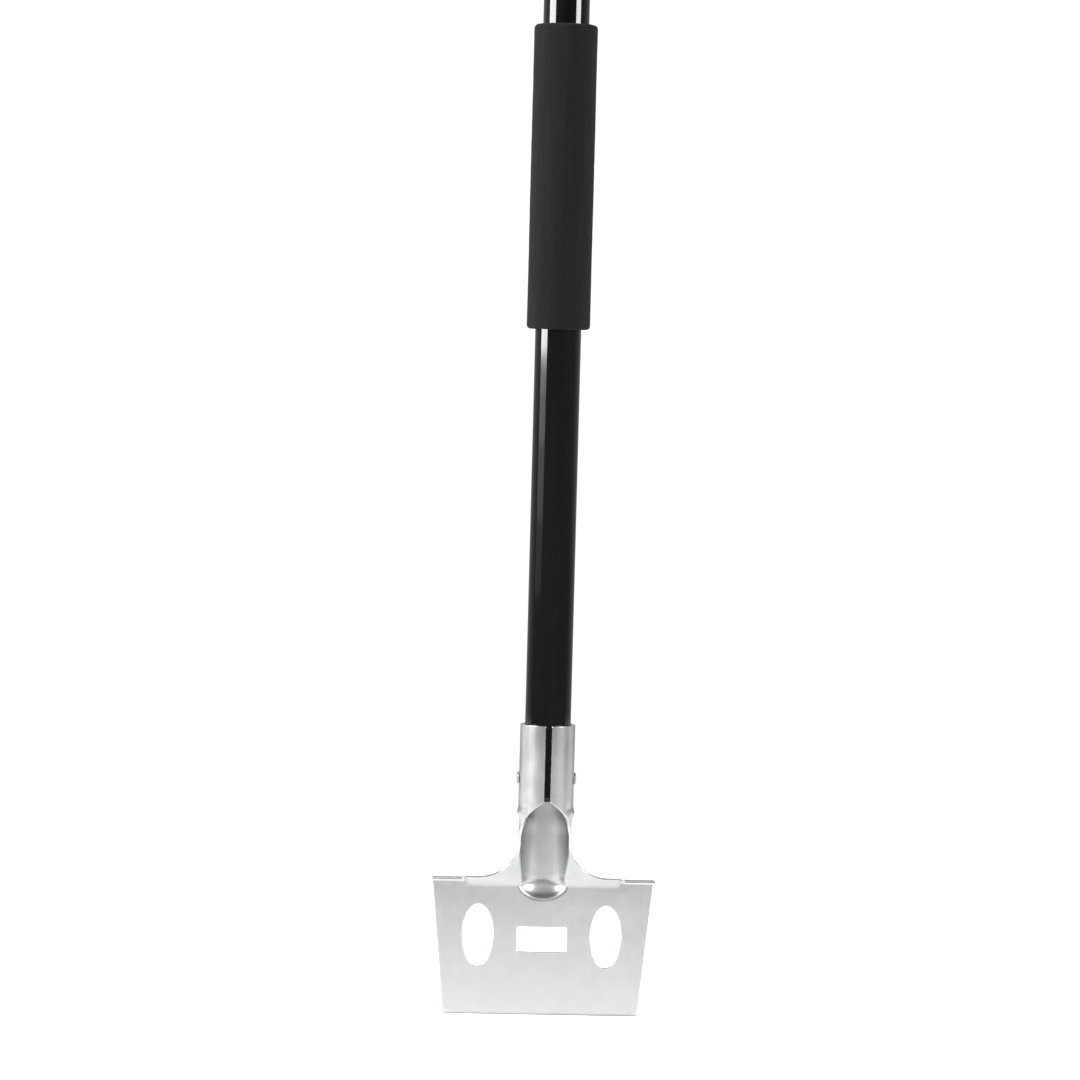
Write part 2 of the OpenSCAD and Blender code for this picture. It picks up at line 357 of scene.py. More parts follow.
def nearest(points, loops):
    """Distance from each point to the nearest point of the loops."""
    every = np.concatenate(loops)
    best = np.full(len(points), 1e9)
    for block in np.array_split(every, max(1, len(every) // 64)):
        gap = np.linalg.norm(points[:, None, :] - block[None, :, :], axis=2)
        best = np.minimum(best, gap.min(axis=1))
    return best


def grid(v_from, v_to, step):
    """A staggered grid of points over the blank, between two heights."""
    rows = np.arange(v_from, v_to, step * ROW_GAP)
    out = []
    for i, v in enumerate(rows):
        s = np.arange(-GRID_HALF_W, GRID_HALF_W, step) + (step / 2 if i % 2 else 0)
        out.append(np.stack([s, np.full(len(s), v)], axis=-1))
    return np.concatenate(out)


def head_mesh():
    """Mesh of the blade head: one sheet, formed from its blank, with rounded cut edges."""
    edge_loops = outline_loops()
    inner = [inset(loop, RIM_IN) for loop in edge_loops]
    points = np.concatenate([grid(GRID_FROM, FINE_FROM, COARSE), grid(FINE_FROM, SOCKET_TOP, FINE)])
    points = points[inside(points, inner)]
    room = np.where(points[:, 1] < FINE_FROM, COARSE_ROOM, FINE_ROOM)
    points = points[nearest(points, inner) > room]
    # two rows close together keep the top of the bevel crisp
    row = np.arange(-BEVEL_ROW, BEVEL_ROW + 0.5, COARSE)
    rows = [np.stack([row, np.full(len(row), v)], axis=-1) for v in (BEVEL - 0.15, BEVEL)]
    points = np.concatenate([*rows, points])
    coords, edges = [], []
    for loop in inner:
        start = len(coords)
        coords += [Vector(p) for p in loop]
        edges += [(start + i, start + (i + 1) % len(loop)) for i in range(len(loop))]
    coords += [Vector(p) for p in points]
    flat, _, faces, origin, _, _ = geometry.delaunay_2d_cdt(coords, edges, [], 0, 1e-6)
    flat = np.array([tuple(p) for p in flat])
    faces = np.array([f for f in faces if len(f) == 3])
    faces = faces[inside(flat[faces].mean(axis=1), inner)]
    place = {source: i for i, found in enumerate(origin) for source in found}

    fall = (SHEET - LAND) / BEVEL
    tiny = 1e-3
    step_s, step_v = np.array([tiny, 0]), np.array([0, tiny])

    def normal_at(p):
        ds = sheet_point(*(p + step_s).T) - sheet_point(*(p - step_s).T)
        dv = sheet_point(*(p + step_v).T) - sheet_point(*(p - step_v).T)
        n = np.cross(ds, dv)
        return n / np.linalg.norm(n, axis=1, keepdims=True)

    def layer(p, half):
        """One face of the sheet, with the bevel taken off the front at the scraping edge."""
        normal = normal_at(p)
        height = np.full(len(p), half)
        shade = normal * np.sign(half)
        if half > 0:
            height = np.minimum(height, LAND - SHEET / 2 + fall * p[:, 1])
            shade[p[:, 1] < BEVEL - 1e-6] += np.array([0, 0, -fall])
        return sheet_point(*p.T) + normal * height[:, None], shade

    verts, shades, marks, polys = [], [], [], []
    total = 0
    sides = {}
    for sign in (1, -1):
        place3, shade = layer(flat, sign * RIM_HALF)
        sides[sign] = total
        verts.append(place3)
        shades.append(shade)
        marks.append(np.clip(1 - nearest(flat, edge_loops) / MARK_REACH, 0, 1))
        polys.append((faces if sign > 0 else faces[:, ::-1]) + total)
        total += len(flat)
    start = 0
    for loop in edge_loops:
        count = len(loop)
        outward = sheet_point(*loop.T) - sheet_point(*inset(loop, 0.05).T)
        outward /= np.linalg.norm(outward, axis=1, keepdims=True)
        ring = [np.array([place[start + i] for i in range(count)]) + sides[1]]
        for away, half, mix in [(ROUND_IN, ROUND_HALF, 1), (0, EDGE_HALF, 3),
                                (0, -EDGE_HALF, 3), (ROUND_IN, -ROUND_HALF, 1)]:
            place3, shade = layer(inset(loop, away), half)
            verts.append(place3)
            shades.append(shade + outward * mix)
            marks.append(np.ones(count))
            ring.append(np.arange(count) + total)
            total += count
        ring.append(np.array([place[start + i] for i in range(count)]) + sides[-1])
        for a, b in zip(ring, ring[1:]):
            polys.append(np.stack([a, b, np.roll(b, -1), np.roll(a, -1)], axis=-1))
        start += count
    verts, shades = np.concatenate(verts), np.concatenate(shades)
    mesh = bpy.data.meshes.new("blade_head_sheet")
    mesh.from_pydata((verts * MM).tolist(), [], [f for block in polys for f in block.tolist()])
    mesh.polygons.foreach_set("use_smooth", [True] * len(mesh.polygons))
    mark = mesh.attributes.new("cut_edge", "FLOAT", "POINT")
    mark.data.foreach_set("value", np.concatenate(marks))
    mesh.normals_split_custom_set_from_vertices(
        (shades / np.linalg.norm(shades, axis=1, keepdims=True)).tolist())
    mesh.update()
    return mesh


# ---------------------------------------------------------------- making pieces


def add(name, mesh, node, material):
    """Puts a mesh in the scene as a piece that stands for a CAD node."""
    piece = bpy.data.objects.new(name, mesh)
    bpy.context.scene.collection.objects.link(piece)
    mesh.materials.clear()
    mesh.materials.append(material)
    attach(piece, "root")
    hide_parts(node)
    return piece


def split(profile, step):
    """The closed profile with its long edges split to about the given step."""
    return [tuple(p) for p in dense(np.array(profile), step)]


def turned(name, profile, segments, shape=None):
    """Mesh of a closed profile of (r, z) points turned about Z. shape moves the turned points."""
    count = len(profile)
    turn = np.linspace(0, 2 * np.pi, segments, endpoint=False)
    r, z = np.array(profile).T
    points = np.stack([np.outer(np.cos(turn), r), np.outer(np.sin(turn), r),
                       np.tile(z, (segments, 1))], axis=-1).reshape(-1, 3)
    if shape is not None:
        points = shape(points)
    index = np.arange(segments * count).reshape(segments, count)
    after = np.roll(index, -1, axis=0)
    quads = np.stack([index, np.roll(index, -1, axis=1), np.roll(after, -1, axis=1), after],
                     axis=-1)
    mesh = bpy.data.meshes.new(name)
    mesh.from_pydata((points * MM).tolist(), [], quads.reshape(-1, 4).tolist())
    return tidy_mesh(mesh)


def tidy_mesh(mesh, angle=40):
    """Joins points that fall together, turns all faces outward and shades smooth up to an angle."""
    work = bmesh.new()
    work.from_mesh(mesh)
    bmesh.ops.remove_doubles(work, verts=work.verts, dist=1e-6)
    bmesh.ops.dissolve_degenerate(work, edges=work.edges, dist=1e-7)
    bmesh.ops.recalc_face_normals(work, faces=work.faces)
    for face in work.faces:
        face.smooth = True
    for edge in work.edges:
        edge.smooth = len(edge.link_faces) == 2 and edge.calc_face_angle(0) < math.radians(angle)
    work.to_mesh(mesh)
    work.free()
    mesh.update()
    return mesh


RIPPLE, FINE_RIPPLE = 0.10, 0.06              # heights of the foam's slow and fine ripples
SAG, SUNK = 0.05, 0.18                        # its waviness along the pole, and how far all lies in
RAGGED, RAGGED_REACH = 0.28, 2.5              # unevenness of its ends, and how far in it fades


def foam_skin(low, seed):
    """A shape function that roughens a foam sleeve whose lower end is at height low."""
    def shape(points):
        out = points.copy()
        for i, (x, y, z) in enumerate(points):
            r = math.hypot(x, y)
            if r < POLE_R + 0.6:
                continue
            place = Vector((x * 0.35, y * 0.35, z * 0.12 + seed))
            fine_place = Vector((x * 1.3, y * 1.3, z * 0.5 + seed))
            end_place = Vector((x * 0.5, y * 0.5, seed))
            ripple = RIPPLE * noise.noise(place) + FINE_RIPPLE * noise.noise(fine_place)
            ends = min(z - low, low + GRIP_L - z)
            ragged = math.exp(-max(ends, 0) / RAGGED_REACH) * RAGGED * noise.noise(end_place)
            sag = SAG * math.sin(z * 0.05 + seed)
            scale = 1 + (ripple + sag - SUNK) / r
            out[i] = (x * scale, y * scale, z + ragged * (1 if z > low + GRIP_L / 2 else -1))
        return out
    return shape


def grip_mesh(name, low, seed):
    """A foam sleeve with rounded, slightly ragged ends."""
    high, bore = low + GRIP_L, POLE_R + 0.02
    nose, lip = 2.6, 0.9
    profile = arc((bore + lip, low + lip), lip, 180, 270, 5)
    profile += arc((GRIP_R - nose, low + nose + 0.1), nose, 270, 360, 12)
    profile += arc((GRIP_R - nose - 0.5, high - nose - 0.6), nose + 0.5, 0, 90, 12)
    profile += arc((bore + lip, high - lip), lip, 90, 180, 5)
    return turned(name, split(profile, 1.5), 144, foam_skin(low, seed))


def pole_mesh():
    """The pole: a long thin tube with rounded lips."""
    inner, low, high, lip = POLE_R - TUBE_WALL, POLE_LOW[2], POLE_HIGH[2], 0.3
    profile = arc((POLE_R - lip, low + lip), lip, -90, 0, 4) + [(POLE_R, low + 2 * lip)]
    profile += [(POLE_R, high - 2 * lip)] + arc((POLE_R - lip, high - lip), lip, 0, 90, 4)
    profile += arc((inner + lip, high - lip), lip, 90, 180, 4) + [(inner, high - 2 * lip)]
    profile += [(inner, low + 2 * lip)] + arc((inner + lip, low + lip), lip, 180, 270, 4)
    return turned("pole_tube_shell", split(profile, 12), 128)


def plug_mesh():
    """The plug in the pole's lower end: a rim under the tube and a hollow skirt in it."""
    low, high, rim = PLUG_LOW[2], PLUG_HIGH[2], 2.0
    skirt = SKIRT_R
    profile = [(0.001, low + 0.5), (skirt - 4.5, low + 0.5), (skirt - 3.9, low)]
    profile += arc((POLE_R - 0.5, low + 0.5), 0.5, -90, 0, 5)
    profile += arc((POLE_R - 0.25, low + rim - 0.25), 0.25, 0, 90, 3)
    profile += [(skirt, low + rim), (skirt, high - 1.0), (skirt - 0.6, high), (skirt - 1.8, high)]
    profile += [(skirt - 1.8, low + rim + 0.6), (skirt - 2.4, low + rim), (0.001, low + rim)]
    return turned("lower_plug_body", profile, 96)


RIVET_SEAT = SOCKET_R + SHEET / 2 + 0.05      # underside of a rivet's head, clear of the socket
STEM_R = 1.3
RING_R = STEM_R + 0.75                        # the dome ends at the sunk ring round the stem
HEAD_LIP = 0.45                               # height of the head's soft edge
SHANK_R = 2.4
COLLAR_R, COLLAR_L = 3.3, 2.4                 # the blind collar inside the tube


def rivet_mesh(name, side):
    """A set blind rivet: a domed head with a soft edge and a sunk ring, a shank and a collar."""
    seat, tip = RIVET_SEAT, RIVET_HIGH[0]
    inner = RIVET_LOW[0]
    head_r = (RIVET_HIGH[2] - RIVET_LOW[2]) / 2
    rise = tip - seat
    profile = [(STEM_R + 0.02, inner), (COLLAR_R - 0.5, inner), (COLLAR_R, inner + 0.5),
               (COLLAR_R, inner + COLLAR_L - 0.5), (COLLAR_R - 0.5, inner + COLLAR_L)]
    profile += [(SHANK_R, inner + COLLAR_L), (SHANK_R, seat), (head_r - 0.25, seat),
                (head_r, seat + 0.22), (head_r - 0.03, seat + HEAD_LIP)]
    for t in np.linspace(0.12, 1, 14):
        r = head_r * math.cos(t * math.pi / 2 * 0.80)
        z = seat + HEAD_LIP + (rise - HEAD_LIP) * math.sin(t * math.pi / 2)
        profile.append((max(r, RING_R), z))
        if r < RING_R:
            break
    profile += [(STEM_R + 0.45, tip - 0.03), (STEM_R + 0.12, tip - 0.25)]
    profile += [(STEM_R + 0.02, tip - 0.7)]
    return turned(name, profile, 64, lambda p: lie_along_x(p, side))


def lie_along_x(points, side):
    """Lays points made round Z along the rivets' axis, on one side of the pole."""
    x, y, z = points.T
    return np.stack([side * z, y, RIVET_Z - x * side], axis=-1)


def stem_mesh(name, side):
    """The stem left in a rivet: its head in the tube, its rough broken end in the rivet's mouth."""
    low, high = STEM_LOW[0], STEM_HIGH[0]
    profile = [(0.001, low), (1.7, low), (2.1, low + 0.4), (2.1, low + 1.3), (1.8, low + 1.6)]
    profile += [(STEM_R - 0.02, low + 1.6), (STEM_R - 0.02, high - 0.5)]
    profile += [(STEM_R - 0.25, high - 0.2), (0.8, high - 0.05), (0.45, high), (0.001, high - 0.15)]

    def shape(points):
        rough = points.copy()
        for i, (x, y, z) in enumerate(points):
            if z > high - 0.45:
                rough[i][2] -= 0.22 * abs(noise.noise(Vector((x * 2.3, y * 2.3, side * 7.0))))
        return lie_along_x(rough, side)

    return turned(name, profile, 48, shape)


def cap_mesh():
    """The moulded cap in the pole's top end: plug, rim and an eye to hang it by, all blended."""
    base, top = POLE_HIGH[2], CAP_HIGH[2]
    low, skirt = CAP_LOW[2], SKIRT_R
    rim_r, rim_t = CAP_HIGH[0], 5.0
    eye_r, eye_half = 13.0, 4.5
    eye_z = top - eye_r
    body = [(skirt - 1.8, low), (skirt - 0.6, low), (skirt, low + 1.0), (skirt, base)]
    body += arc((rim_r - 1.0, base + 1.0), 1.0, -90, 0, 6)
    body += arc((rim_r - 2.2, base + rim_t - 2.2), 2.2, 0, 90, 8)
    body += [(0.001, base + rim_t + 0.6), (0.001, base + 0.5), (skirt - 1.8, base + 0.5)]
    parts = bmesh.new()
    lathe = turned("cap_body", body, 96)
    parts.from_mesh(lathe)
    bpy.data.meshes.remove(lathe)

    # the eye is a thick tab with a round top, and its hole flares a little at both faces
    outline = [(eye_r * math.cos(a), eye_z + eye_r * math.sin(a))
               for a in np.linspace(0, np.pi, 49)]
    outline += [(-eye_r, base + 3.0), (eye_r, base + 3.0)]
    layers = [(-eye_half, -1.4), (-eye_half + 0.45, -0.45), (-eye_half + 1.4, 0)]
    layers += [(-y, grow) for y, grow in reversed(layers)]
    rings = []
    centre = np.array([0, eye_z])
    for y, grow in layers:
        ring = []
        for p in outline:
            away = np.array(p) - centre
            away[1] = max(away[1], 0)
            unit = away / max(np.linalg.norm(away), 1e-6)
            x, z = p[0] + unit[0] * grow, p[1] + unit[1] * grow
            ring.append(parts.verts.new((x * MM, y * MM, z * MM)))
        rings.append(ring)
    for a, b in zip(rings, rings[1:]):
        for i in range(len(a)):
            j = (i + 1) % len(a)
            parts.faces.new((a[i], a[j], b[j], b[i]))
    parts.faces.new(rings[0][::-1])
    parts.faces.new(rings[-1])
    bmesh.ops.recalc_face_normals(parts, faces=parts.faces)
    mesh = bpy.data.meshes.new("end_cap_body")
    parts.to_mesh(mesh)
    parts.free()

    hole_r, flare, flare_from, flare_over, reach = 5.0, 1.3, 3.2, 1.9, 6
    hole = []
    for y in np.linspace(-reach, reach, 33):
        t = max(abs(y) - flare_from, 0) / flare_over
        hole.append((hole_r + flare * (1 - math.cos(t * math.pi / 2)), y))
    drill = turned("cap_hole", [(0.001, -reach), *hole, (0.001, reach)], 64,
                   lambda p: np.stack([p[:, 0], p[:, 2], eye_z + p[:, 1]], axis=-1))
    return blended(mesh, drill)


def blended(mesh, drill):
    """Unites overlapping closed shells by remeshing, cuts the drill out and softens corners."""
    whole = bpy.data.objects.new("cap_work", mesh)
    cutter = bpy.data.objects.new("cap_cutter", drill)
    for made in (whole, cutter):
        bpy.context.scene.collection.objects.link(made)
    cut = whole.modifiers.new("hole", "BOOLEAN")
    cut.operation, cut.solver, cut.object, cut.use_self = "DIFFERENCE", "EXACT", cutter, True
    grain = whole.modifiers.new("blend", "REMESH")
    grain.mode, grain.voxel_size = "VOXEL", 0.5 * MM
    soft = whole.modifiers.new("soften", "SMOOTH")
    soft.iterations, soft.factor = 6, 0.5
    ready = whole.evaluated_get(bpy.context.evaluated_depsgraph_get())
    result = bpy.data.meshes.new_from_object(ready)
    for made in (whole, cutter):
        bpy.data.objects.remove(made)
    for polygon in result.polygons:
        polygon.use_smooth = True
    return result


# ---------------------------------------------------------------- materials


class Material:
    """A node material under construction, with short ways to add and join its nodes."""

    def __init__(self, name, **settings):
        self.made = bpy.data.materials.new(name)
        self.made.use_nodes = True
        self.nodes, self.links = self.made.node_tree.nodes, self.made.node_tree.links
        self.shader = self.nodes["Principled BSDF"]
        for socket, value in settings.items():
            self.shader.inputs[socket.replace("_", " ")].default_value = value
        self.place = self.nodes.new("ShaderNodeTexCoord").outputs["Object"]

    def stretched(self, x, y, z):
        """The place on the object, with each axis scaled, in waves per metre."""
        node = self.nodes.new("ShaderNodeMapping")
        node.inputs["Scale"].default_value = (x, y, z)
        self.links.new(self.place, node.inputs["Vector"])
        return node.outputs["Vector"]

    def noise(self, scale, detail=4, rough=0.55, distort=0.0):
        """Soft noise from 0 to 1. scale is one number, or one for each axis."""
        node = self.nodes.new("ShaderNodeTexNoise")
        node.inputs["Scale"].default_value = 1
        node.inputs["Detail"].default_value = detail
        node.inputs["Roughness"].default_value = rough
        node.inputs["Distortion"].default_value = distort
        axes = scale if isinstance(scale, tuple) else (scale,) * 3
        self.links.new(self.stretched(*axes), node.inputs["Vector"])
        return node.outputs["Fac"]

    def cells(self, scale, feature="F1"):
        """Distance to the nearest of a field of scattered points."""
        node = self.nodes.new("ShaderNodeTexVoronoi")
        node.feature = feature
        node.inputs["Scale"].default_value = 1
        axes = scale if isinstance(scale, tuple) else (scale,) * 3
        self.links.new(self.stretched(*axes), node.inputs["Vector"])
        return node.outputs["Distance"]

    def ramp(self, source, start, end, low=0.0, high=1.0):
        """Maps start..end of a value to low..high, and holds it there outside."""
        node = self.nodes.new("ShaderNodeMapRange")
        sockets = ("From Min", "From Max", "To Min", "To Max")
        for socket, value in zip(sockets, (start, end, low, high)):
            node.inputs[socket].default_value = value
        self.links.new(source, node.inputs["Value"])
        return node.outputs["Result"]

    def maths(self, operation, a, b):
        """An operation on two values, each a socket or a number."""
        node = self.nodes.new("ShaderNodeMath")
        node.operation = operation
        for value, socket in zip((a, b), node.inputs):
            if isinstance(value, (int, float)):
                socket.default_value = value
            else:
                self.links.new(value, socket)
        return node.outputs["Value"]

    def mix(self, share, a, b):
        """A colour between a and b, each a socket or three numbers."""
        node = self.nodes.new("ShaderNodeMix")
        node.data_type = "RGBA"
        self.links.new(share, node.inputs["Factor"])
        for value, socket in zip((a, b), (node.inputs[6], node.inputs[7])):
            if isinstance(value, tuple):
                socket.default_value = (*value, 1)
            else:
                self.links.new(value, socket)
        return node.outputs[2]

    def height(self):
        """Height above the scraping edge, in metres."""
        node = self.nodes.new("ShaderNodeSeparateXYZ")
        self.links.new(self.place, node.inputs["Vector"])
        return node.outputs["Z"]

    def mark(self, name):
        """A value stored on the mesh's points."""
        node = self.nodes.new("ShaderNodeAttribute")
        node.attribute_name = name
        return node.outputs["Fac"]

    def colour(self, source):
        self.links.new(source, self.shader.inputs["Base Color"])

    def roughness(self, source):
        self.links.new(source, self.shader.inputs["Roughness"])

    def bump(self, *layers):
        """Bumps from (height, strength, depth in millimetres), each on top of the one before."""
        last = None
        for source, strength, depth in layers:
            node = self.nodes.new("ShaderNodeBump")
            node.inputs["Strength"].default_value = strength
            node.inputs["Distance"].default_value = depth * MM
            self.links.new(source, node.inputs["Height"])
            if last is not None:
                self.links.new(last, node.inputs["Normal"])
            last = node.outputs["Normal"]
        self.links.new(last, self.shader.inputs["Normal"])


def bright_steel():
    """Zinc-coated sheet: pale, a little cloudy and smeared, with brighter sheared edges."""
    m = Material("sheet_steel_zinc", Metallic=1.0)
    cloud = m.noise(38, 5, 0.6, 0.4)
    smear = m.noise((28, 60, 260), 4, 0.6)
    streak = m.noise((420, 420, 22), 3, 0.5)
    fine = m.noise(900, 2, 0.6)
    tone = m.mix(m.ramp(cloud, 0.33, 0.68), (0.60, 0.62, 0.605), (0.72, 0.735, 0.715))
    tone = m.mix(m.ramp(smear, 0.45, 0.75, 0, 0.35), tone, (0.57, 0.60, 0.60))
    tone = m.mix(m.ramp(streak, 0.5, 0.8, 0, 0.25), tone, (0.78, 0.79, 0.78))
    tone = m.mix(m.ramp(m.mark("cut_edge"), 0.55, 0.95, 0, 0.6), tone, (0.86, 0.865, 0.86))
    # painted reflection: the steel is painted paler near the bottom, fading out by 85 mm up, in
    # place of the white floor's reflection
    tone = m.mix(m.ramp(m.height(), 0.015, 0.085, 0.5, 0), tone, (0.82, 0.835, 0.81))
    # painted shade: the ground bevel, up to 2.4 mm, is painted darker for the dark line where the
    # scraping edge meets the floor
    m.colour(m.mix(m.ramp(m.height(), 0.0008, 0.0024, 0.8, 0), tone, (0.56, 0.565, 0.56)))
    rough = m.maths("ADD", m.ramp(cloud, 0.3, 0.7, 0.29, 0.38), m.ramp(fine, 0.3, 0.7, -0.01, 0.01))
    m.roughness(m.maths("SUBTRACT", rough, m.ramp(m.mark("cut_edge"), 0.6, 1, 0, 0.08)))
    m.bump((m.noise(30, 1), 0.5, 0.30), (streak, 0.2, 0.02), (fine, 0.06, 0.01))
    return m.made


def gloss_black():
    """Baked black paint on the tube, with a little orange peel and a few specks of dust."""
    m = Material("pole_paint_black", Specular_IOR_Level=1.0)
    warm = m.noise((90, 90, 6), 3)
    peel = m.noise(420, 2)
    dust = m.cells(260)
    base = m.mix(m.ramp(warm, 0.35, 0.65), (0.0035, 0.0035, 0.0042), (0.0070, 0.0060, 0.0050))
    m.colour(m.mix(m.ramp(dust, 0.03, 0.075, 0.5, 0), base, (0.12, 0.12, 0.115)))
    m.roughness(m.ramp(m.noise((120, 120, 30), 4), 0.3, 0.7, 0.03, 0.07))
    m.bump((peel, 0.2, 0.01), (m.noise((60, 60, 12), 2), 0.2, 0.05))
    return m.made


def black_foam():
    """Closed-cell foam sleeve: dull, grainy, with faint lengthwise drag marks."""
    m = Material("grip_foam_black", Sheen_Weight=0.03, Sheen_Roughness=0.6,
                 Specular_IOR_Level=0.25)
    grain = m.noise(1500, 3, 0.7)
    drag = m.noise((330, 330, 14), 3, 0.6)
    cell = m.cells(1100)
    patch = m.noise(45, 3)
    base = m.mix(m.ramp(drag, 0.35, 0.7), (0.0067, 0.0060, 0.0056), (0.0118, 0.0104, 0.0095))
    base = m.mix(m.ramp(patch, 0.4, 0.7, 0, 0.4), base, (0.0075, 0.0068, 0.0062))
    # painted shade: the foam's pits, sunk by the cell bump below, are painted darker
    m.colour(m.mix(m.ramp(cell, 0.05, 0.35, 0.45, 0), base, (0.0025, 0.0025, 0.0025)))
    m.roughness(m.ramp(grain, 0.3, 0.7, 0.86, 0.98))
    m.bump((drag, 0.5, 0.12), (grain, 0.6, 0.12), (cell, 0.5, 0.12))
    return m.made


def black_plastic():
    """Moulded black plastic with a fine spark texture and slightly rubbed high spots."""
    m = Material("plug_plastic_black")
    grain = m.noise(1300, 2, 0.6)
    rub = m.noise(130, 4)
    m.colour(m.mix(m.ramp(rub, 0.4, 0.75), (0.016, 0.016, 0.017), (0.033, 0.033, 0.034)))
    m.roughness(m.ramp(rub, 0.3, 0.7, 0.42, 0.56))
    m.bump((grain, 0.35, 0.04), (rub, 0.2, 0.05))
    return m.made


def rivet_zinc():
    """Plated steel of the rivets, duller than the sheet."""
    m = Material("rivet_steel_zinc", Metallic=1.0)
    cloud = m.noise(500, 4)
    m.colour(m.mix(m.ramp(cloud, 0.35, 0.7), (0.40, 0.415, 0.42), (0.60, 0.61, 0.61)))
    m.roughness(m.ramp(cloud, 0.3, 0.7, 0.3, 0.45))
    m.bump((cloud, 0.4, 0.03), (m.noise(2200, 2), 0.3, 0.015))
    return m.made


def stem_steel():
    """Bare broken end of a rivet's stem."""
    m = Material("stem_steel_broken", Metallic=1.0)
    break_grain = m.noise(2600, 4, 0.7)
    m.colour(m.mix(m.ramp(break_grain, 0.35, 0.7), (0.10, 0.10, 0.105), (0.30, 0.30, 0.30)))
    m.roughness(m.ramp(break_grain, 0.3, 0.7, 0.4, 0.65))
    m.bump((break_grain, 0.7, 0.08))
    return m.made


STEEL, PAINT, FOAM = bright_steel(), gloss_black(), black_foam()
PLASTIC, RIVET, STEM = black_plastic(), rivet_zinc(), stem_steel()

# ---------------------------------------------------------------- the pieces

add("blade_head_sheet", head_mesh(), "blade_head", STEEL)
add("pole_tube_shell", pole_mesh(), "pole_tube", PAINT)
add("lower_plug_body", plug_mesh(), "lower_plug", PLASTIC)
add("end_cap_body", cap_mesh(), "end_cap", PLASTIC)
for label, side in (("left", -1), ("right", 1)):
    name = f"rivet_{label}_head"
    add(name, rivet_mesh(name, side), f"rivet_{label}", RIVET)
    name = f"rivet_stem_{label}_pin"
    add(name, stem_mesh(name, side), f"rivet_stem_{label}", STEM)
for label, low, seed in (("lower", GRIP_LOW[2], 3.7), ("upper", TOP_GRIP_LOW[2], 8.1)):
    name = f"{label}_grip_foam"
    grip = add(name, grip_mesh(name, low, seed), f"{label}_grip", FOAM)

# ---------------------------------------------------------------- floor, world and lights

scene = bpy.context.scene
FLOOR_R, FLOOR_FADE = 1.2, 0.7                # the floor's radius, and where it starts to darken
FLOOR_DROP = 0.0005                           # the floor lies this far below the object
FLOOR_WHITE = (0.85, 0.85, 0.85)              # its colour at the middle
FLOOR_GREY = (0.35, 0.35, 0.35)               # and at the rim
FLOOR_GLOW, RIM_GLOW = 0.15, 0.06             # its own light to the object, at the same two
FLOOR_SEEN = 1.2                              # its own light to the camera


def floor_disc():
    """A round white floor, bright enough to the camera to leave no edge against the white round
    it. To the object it darkens toward its rim, so that no edge shows in the pole's gloss."""
    mesh = bpy.data.meshes.new("studio_floor")
    turn = np.linspace(0, 2 * np.pi, 96, endpoint=False)
    rim = [(FLOOR_R * math.cos(a), FLOOR_R * math.sin(a), -FLOOR_DROP) for a in turn]
    mesh.from_pydata(rim, [], [range(len(rim))])
    m = Material("studio_floor_white", Roughness=0.9, Emission_Color=(1, 1, 1, 1))
    length = m.nodes.new("ShaderNodeVectorMath")
    length.operation = "LENGTH"
    m.links.new(m.place, length.inputs[0])
    out = m.ramp(length.outputs["Value"], FLOOR_FADE, FLOOR_R)
    m.colour(m.mix(out, FLOOR_WHITE, FLOOR_GREY))
    seen = m.nodes.new("ShaderNodeLightPath").outputs["Is Camera Ray"]
    glow = m.maths("MAXIMUM", m.ramp(seen, 0, 1, 0, FLOOR_SEEN),
                   m.ramp(out, 0, 1, FLOOR_GLOW, RIM_GLOW))
    m.links.new(glow, m.shader.inputs["Emission Strength"])
    mesh.materials.append(m.made)
    disc = bpy.data.objects.new("studio_floor", mesh)
    scene.collection.objects.link(disc)


floor_disc()

# brightness of the studio's walls as the object sees them, at the back, left, front and right
WALL_LOW = (0.5, 0.08, 0.09, 0.09)            # below the horizon, past the floor's edge
WALL_LEVEL = (0.5, 0.15, 0.01, 0.1)           # from the horizon up
WALL_HIGH = (0.6, 0.6, 0.7, 0.5)              # some 20 degrees up
CEILING = 0.45
BACKDROP = 1.05                               # brightness of the white that the camera sees


